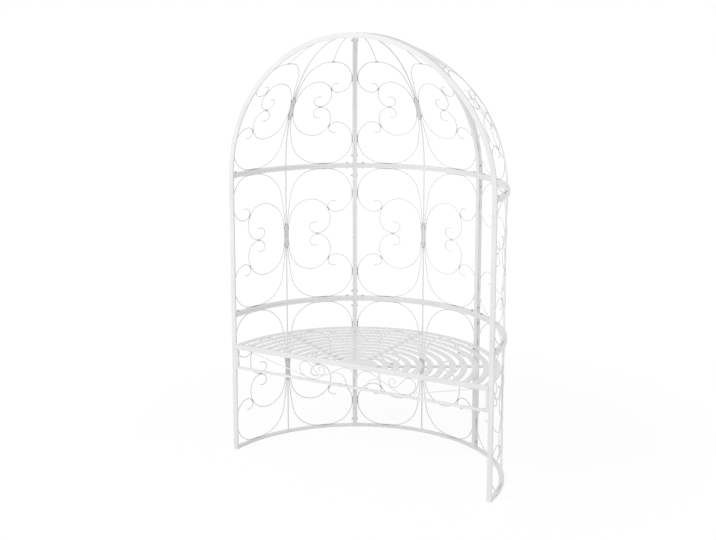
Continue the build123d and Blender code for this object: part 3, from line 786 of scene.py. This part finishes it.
class PAVILION_OT_rail_seams(Operator):
    """Run a rippled weld seam round each curved rail where it meets a stile or a rib"""

    bl_idname = "pavilion.rail_seams"
    bl_label = "Weld the rails"

    def execute(self, context):
        """Seam point = path + radius * (cosine of the section angle * normal + its sine * way in).

        The path is a U round the rail's end: up one side, over it and down the other, with rounded
        corners, walked evenly. The radius swells with the sine of the way walked.
        """
        sizes, weld = context.scene.pavilion_sizes, context.scene.pavilion_welds
        section = circle(SEAM_SIDES)
        corner = sizes.tube_corner
        lift = weld.seam_lift * weld.seam_radius
        half_depth = sizes.tube_depth / 2 + lift
        rise = sizes.tube_width + lift
        bend = np.linspace(0, pi / 2, SEAM_CORNER_KNOTS)
        bend_across = half_depth - corner + corner * np.cos(bend)
        bend_up = rise - corner + corner * np.sin(bend)
        knots_across = np.concatenate([[half_depth], bend_across, -bend_across[::-1], [-half_depth]])
        knots_up = np.concatenate([[weld.seam_radius], bend_up, bend_up[::-1], [weld.seam_radius]])
        stations = np.concatenate([[0], np.cumsum(np.hypot(np.diff(knots_across), np.diff(knots_up)))])
        walked = np.linspace(0, stations[-1], SEAM_RINGS)
        across = np.interp(walked, stations, knots_across)
        up = np.interp(walked, stations, knots_up)
        path_way = unit(np.stack([np.gradient(across), np.gradient(up)], axis=-1))
        radius = weld.seam_radius * (1 + weld.seam_ripple * np.sin(2 * pi * walked / weld.seam_pitch))
        radial = across[:, None] + radius[:, None] * np.cos(section) * path_way[:, 1:2]
        height = up[:, None] - radius[:, None] * np.cos(section) * path_way[:, 0:1]
        inward = radius[:, None] * np.sin(section)

        tiers = (0.0, sizes.tier_height)
        rails = [(base, 1) for base in (*tiers, 2 * sizes.tier_height)]
        rails += [(base + sizes.tier_height, -1) for base in tiers]
        rings = []
        for base, way_up in rails:
            for side, joints in ((1, PANEL_STARTS), (-1, PANEL_ENDS)):
                beside = side * (sizes.tube_width + inward)
                points = np.stack([sizes.arc_radius + radial, beside, base + way_up * height], axis=-1)
                if side * way_up < 0:
                    points = points[:, ::-1]
                copies = turned(points.reshape(-1, 3), joints, AT_FRONT_RIGHT)
                rings.append(copies.reshape(len(joints), *points.shape))
        rings = to_origin(np.concatenate(rings), sizes)
        tips = rings[:, (0, -1)].mean(axis=2)
        points, quads, triangles = capped_tubes(rings, tips[:, 0], tips[:, 1])
        coat = finish_named("weld_coat")
        add_piece("rail_seams", points, quads[:, ::-1], triangles[:, ::-1], coat, "frame")
        return {"FINISHED"}


class PAVILION_OT_scroll_welds(Operator):
    """Set a pair of weld beads, inside and outside, wherever two wires or a wire and a tube touch"""

    bl_idname = "pavilion.scroll_welds"
    bl_label = "Weld the scrollwork"

    def execute(self, context):
        """Bead middle = contact +- offset * outward normal, in all quarters of the wall and dome panels."""
        sizes, weld = context.scene.pavilion_sizes, context.scene.pavilion_welds
        low = sizes.tube_width + sizes.wire / 2 + sizes.gap
        height = sizes.tier_height / 2 - low
        wall = scroll_contacts(sizes, weld, height, sizes.wall_loop, True, lambda y: 1.0)
        middle = (low + sizes.dome_scroll_rise) / 2
        reach = sizes.dome_scroll_rise - middle

        def dome_half(half):
            """The upper half of a dome panel for 1, the lower half, which has the rail, for -1."""
            def squeeze(y):
                return cos((middle + half * y) / sizes.arc_radius)

            return scroll_contacts(sizes, weld, reach, sizes.dome_loop, half < 0, squeeze)

        upper = dome_half(1)
        lower = dome_half(-1)
        # Each group is a set of weld beads whose darker coat is painted shade for the groove, crevice or
        # gap that the bead sits in.
        groups = (
            ("groove_welds_painted_shade", "groove_painted_shade_coat", weld.groove_width),
            ("wire_welds_painted_shade", "crevice_painted_shade_coat", weld.bead_width),
            ("spine_welds_painted_shade", "spine_gap_painted_shade_coat", weld.bead_width),
        )
        for kind, (name, coat, width) in enumerate(groups):
            on_panel = all_quarters(wall[kind], wall[kind])
            on_cap = all_quarters(upper[kind], lower[kind])
            found = [on_wall(on_panel, sizes, base) for base in (0.0, sizes.tier_height)]
            found.append(on_dome(on_cap, sizes, middle))
            found = [np.concatenate(vectors) for vectors in zip(*found)]
            points, ways, outs = (turned(vectors, PANEL_MIDDLES, AT_BACK) for vectors in found)
            points = to_origin(points, sizes)
            axes = np.stack([ways, np.cross(outs, ways), outs], axis=1)
            offset = weld.bead_offset * sizes.wire * outs
            lengths = np.concatenate([on_panel[:, 3], on_panel[:, 3], on_cap[:, 3]])
            lengths = np.tile(lengths, PANEL_COUNT)
            half_sizes = np.stack(np.broadcast_arrays(lengths, width, weld.bead_height), axis=-1) / 2
            shape = bead_shapes(
                np.concatenate([points + offset, points - offset]),
                np.concatenate([axes, axes]),
                np.concatenate([half_sizes, half_sizes]),
            )
            add_piece(name, *shape, finish_named(coat), "scrollwork")
        return {"FINISHED"}


class PAVILION_OT_bench_welds(Operator):
    """Tack the slats to the front rail and to the bars under the bench"""

    bl_idname = "pavilion.bench_welds"
    bl_label = "Weld the bench"

    def execute(self, context):
        """Bead middle = slat radius along the front rail, or along each bar and half its width aside."""
        sizes, weld = context.scene.pavilion_sizes, context.scene.pavilion_welds
        rim = RIM_HIGH.x - sizes.slat_width / 2
        radii = rim - sizes.slat_pitch * np.arange(sizes.slat_count + 1)
        under = RIM_LOW.z
        half_height = weld.bead_height / 2

        ends = repeated([0.0, RAIL_HIGH.y, under], 2 * len(radii))
        ends[:, 0] = np.concatenate([radii, -radii])
        end_axes = np.broadcast_to(np.eye(3), (len(ends), 3, 3))
        end_sizes = repeated([weld.slat_bead * sizes.slat_width / 2, half_height, half_height], len(ends))

        angles = np.radians(PANEL_MIDDLES)
        way = np.stack([np.cos(angles), np.sin(angles), np.zeros_like(angles)], axis=-1)
        cross = np.stack([-np.sin(angles), np.cos(angles), np.zeros_like(angles)], axis=-1)
        along = radii[None, :, None] * way[:, None]
        aside = sizes.support_size / 2 * cross[:, None]
        tacks = np.concatenate([along + aside, along - aside]).reshape(-1, 3)
        tacks = to_origin(tacks + under * UP, sizes)
        tack_axes = np.stack([way, cross, repeated(UP, len(way))], axis=1)
        tack_axes = np.tile(np.repeat(tack_axes, len(radii), axis=0), (2, 1, 1))
        tack_sizes = repeated([weld.slat_tack * sizes.slat_width / 2, half_height, half_height], len(tacks))
        shape = bead_shapes(
            np.concatenate([ends, tacks]),
            np.concatenate([end_axes, tack_axes]),
            np.concatenate([end_sizes, tack_sizes]),
        )
        add_piece("bench_welds", *shape, finish_named("weld_coat"), "bench")
        return {"FINISHED"}


class PAVILION_OT_apron_welds(Operator):
    """Tack the wires of the apron to the front rail and to the lower bar"""

    bl_idname = "pavilion.apron_welds"
    bl_label = "Weld the apron"

    def execute(self, context):
        """Bead middle = spot +- offset along Y, for the spots on the right and their mirror images."""
        sizes, weld = context.scene.pavilion_sizes, context.scene.pavilion_welds
        depth = (RAIL_LOW.y + RAIL_HIGH.y) / 2
        on_rail = (sizes.wave_end, sizes.wave_top, sizes.heart_top)
        on_bar = (sizes.wave_low, sizes.arch_foot)
        spots = [(across, depth, RAIL_LOW.z) for across in on_rail]
        spots += [(across, depth, APRON_HIGH.z) for across in on_bar]
        spots = np.concatenate([spots, np.array(spots) * [-1, 1, 1]])
        offset = np.array([0, weld.bead_offset * sizes.wire, 0])
        middles = np.concatenate([spots + offset, spots - offset])
        axes = np.tile([[1.0, 0, 0], [0, 0, -1.0], [0, 1.0, 0]], (len(middles), 1, 1))
        half_sizes = repeated([weld.small_tack, weld.bead_width, weld.bead_height], len(middles)) / 2
        shape = bead_shapes(middles, axes, half_sizes)
        # The tacks take the crevice coat, whose darker tone is painted shade where a wire meets a tube.
        add_piece("apron_welds", *shape, finish_named("crevice_painted_shade_coat"), "bench")
        return {"FINISHED"}


class PAVILION_OT_crown_weld(Operator):
    """Close the crown of the dome, where the ribs meet, with one smooth weld"""

    bl_idname = "pavilion.crown_weld"
    bl_label = "Weld the crown"

    def execute(self, context):
        """Crown point = middle + half size * unit sphere, squared off to fill the gap at the ribs' ends."""
        sizes, weld = context.scene.pavilion_sizes, context.scene.pavilion_welds
        lap = circle(CROWN_SIDES)
        pole = half_circle(CROWN_RINGS)
        ring = squared_off(np.sin(pole), CORNER_POWER)[:, None]
        coordinates = np.broadcast_arrays(
            ring * squared_off(np.cos(lap), CORNER_POWER),
            ring * squared_off(np.sin(lap), CORNER_POWER),
            squared_off(np.cos(pole), CORNER_POWER)[:, None],
        )
        half_width = weld.crown_across * sizes.crown_gap
        half_depth = weld.crown_deep * sizes.crown_gap
        half_sizes = np.array([half_width, half_depth, sizes.tube_depth / 2])
        top = 2 * sizes.tier_height + sizes.arc_radius
        middle = to_origin(np.array([0, half_depth - sizes.gap, top]), sizes)
        rings = (middle + np.stack(coordinates, axis=-1) * half_sizes)[None]
        tip = half_sizes * UP
        points, quads, triangles = capped_tubes(rings, (middle + tip)[None], (middle - tip)[None])
        coat = finish_named("weld_coat")
        add_piece("crown_weld", points, quads[:, ::-1], triangles[:, ::-1], coat, "frame")
        return {"FINISHED"}


class PAVILION_OT_washers(Operator):
    """Put a washer under each bolt head and each nut of the frame"""

    bl_idname = "pavilion.washers"
    bl_label = "Add the washers"

    def execute(self, context):
        """Washer point = centre + (middle radius + outward) * spoke + upward * axis.

        outward and upward run round a rounded oblong section, and the spokes run round the axis.
        """
        sizes, bolts = context.scene.pavilion_sizes, context.scene.pavilion_bolts
        radius, tier = sizes.arc_radius, sizes.tier_height
        lift = sizes.tube_width + bolts.washer_thickness / 2
        heights = [bolts.post_inset, tier - bolts.post_inset, tier + bolts.post_inset]
        heights.append(2 * tier - bolts.dome_inset)
        latitudes = np.array([bolts.dome_inset / radius, pi / 2 - bolts.crown_inset / radius])
        out = np.concatenate([np.full(len(heights), radius), radius * np.cos(latitudes)])
        up = np.concatenate([heights, 2 * tier + radius * np.sin(latitudes)])
        centres, ways = [], []
        for side in (1, -1):
            spots = np.stack([out, np.full(len(out), side * lift), up], axis=-1)
            centres.append(turned(spots, PANEL_JOINTS, AT_FRONT_RIGHT))
            ways.append(turned(repeated([0.0, 1.0, 0.0], len(spots)), PANEL_JOINTS, AT_FRONT_RIGHT))
        turn = degrees(bolts.rail_inset / radius)
        around = np.concatenate([PANEL_STARTS + turn, PANEL_ENDS - turn])
        for ring_height in (tier, 2 * tier):
            for side in (1, -1):
                spots = np.array([[radius, 0.0, ring_height + side * lift]])
                centres.append(turned(spots, around, AT_FRONT_RIGHT))
                ways.append(repeated(UP, len(around)))
        centres = to_origin(np.concatenate(centres), sizes)
        ways = np.concatenate(ways)

        lap = circle(WASHER_STEPS)
        section = circle(WASHER_SIDES)
        half_band = (bolts.washer_radius - bolts.washer_hole) / 2
        middle = (bolts.washer_radius + bolts.washer_hole) / 2
        outward = half_band * squared_off(np.cos(section), CORNER_POWER)
        upward = bolts.washer_thickness / 2 * squared_off(np.sin(section), CORNER_POWER)
        first = unit(np.cross(ways, SLANT))
        second = np.cross(ways, first)
        spokes = np.cos(lap)[:, None] * first[:, None] + np.sin(lap)[:, None] * second[:, None]
        flat = centres[:, None, None] + (middle + outward)[:, None] * spokes[:, :, None]
        shape = closed_rings(flat + upward[:, None] * ways[:, None, None])
        add_piece("washers", *shape, finish_named("zinc_plate"), "fasteners")
        return {"FINISHED"}


class PAVILION_OT_stage(Operator):
    """Set the floor, the light and the camera"""

    bl_idname = "pavilion.stage"
    bl_label = "Set the studio"

    def execute(self, context):
        scene, look = context.scene, context.scene.pavilion_look
        add_floor(look)
        scene.world = studio_world(look)
        add_lamp("key_lamp", look.key_place, look.key_size, look.key, look.lamp_aim)
        add_lamp("fill_lamp", look.fill_place, look.fill_size, look.fill, look.lamp_aim)
        scene.camera = add_camera(look)
        scene.view_settings.view_transform = "Standard"
        return {"FINISHED"}


OPERATORS = (
    PAVILION_OT_coat,
    PAVILION_OT_rail_seams,
    PAVILION_OT_scroll_welds,
    PAVILION_OT_bench_welds,
    PAVILION_OT_apron_welds,
    PAVILION_OT_crown_weld,
    PAVILION_OT_washers,
    PAVILION_OT_stage,
)
GROUPS = {
    "pavilion_sizes": PavilionSizes,
    "pavilion_bolts": FastenerSizes,
    "pavilion_welds": WeldSizes,
    "pavilion_finish": CoatFinish,
    "pavilion_look": StudioLook,
}


class PAVILION_PT_sidebar(Panel):
    """Sizes, finishes and steps of the pavilion."""

    bl_label = "Garden pavilion"
    bl_idname = "PAVILION_PT_sidebar"
    bl_space_type = "VIEW_3D"
    bl_region_type = "UI"
    bl_category = "Pavilion"

    def draw(self, context):
        for name, group in GROUPS.items():
            box = self.layout.box()
            box.label(text=group.__doc__)
            for key in group.__annotations__:
                box.prop(getattr(context.scene, name), key)
        for operator in OPERATORS:
            self.layout.operator(operator.bl_idname)


CLASSES = (*GROUPS.values(), *OPERATORS, PAVILION_PT_sidebar)


def register():
    for cls in CLASSES:
        bpy.utils.register_class(cls)
    for name, group in GROUPS.items():
        setattr(bpy.types.Scene, name, PointerProperty(type=group))


def unregister():
    for name in GROUPS:
        delattr(bpy.types.Scene, name)
    for cls in reversed(CLASSES):
        bpy.utils.unregister_class(cls)


def main():
    register()
    bpy.ops.pavilion.coat()
    bpy.ops.pavilion.rail_seams()
    bpy.ops.pavilion.scroll_welds()
    bpy.ops.pavilion.bench_welds()
    bpy.ops.pavilion.apron_welds()
    bpy.ops.pavilion.crown_weld()
    bpy.ops.pavilion.washers()
    bpy.ops.pavilion.stage()


if __name__ == "__main__":
    main()
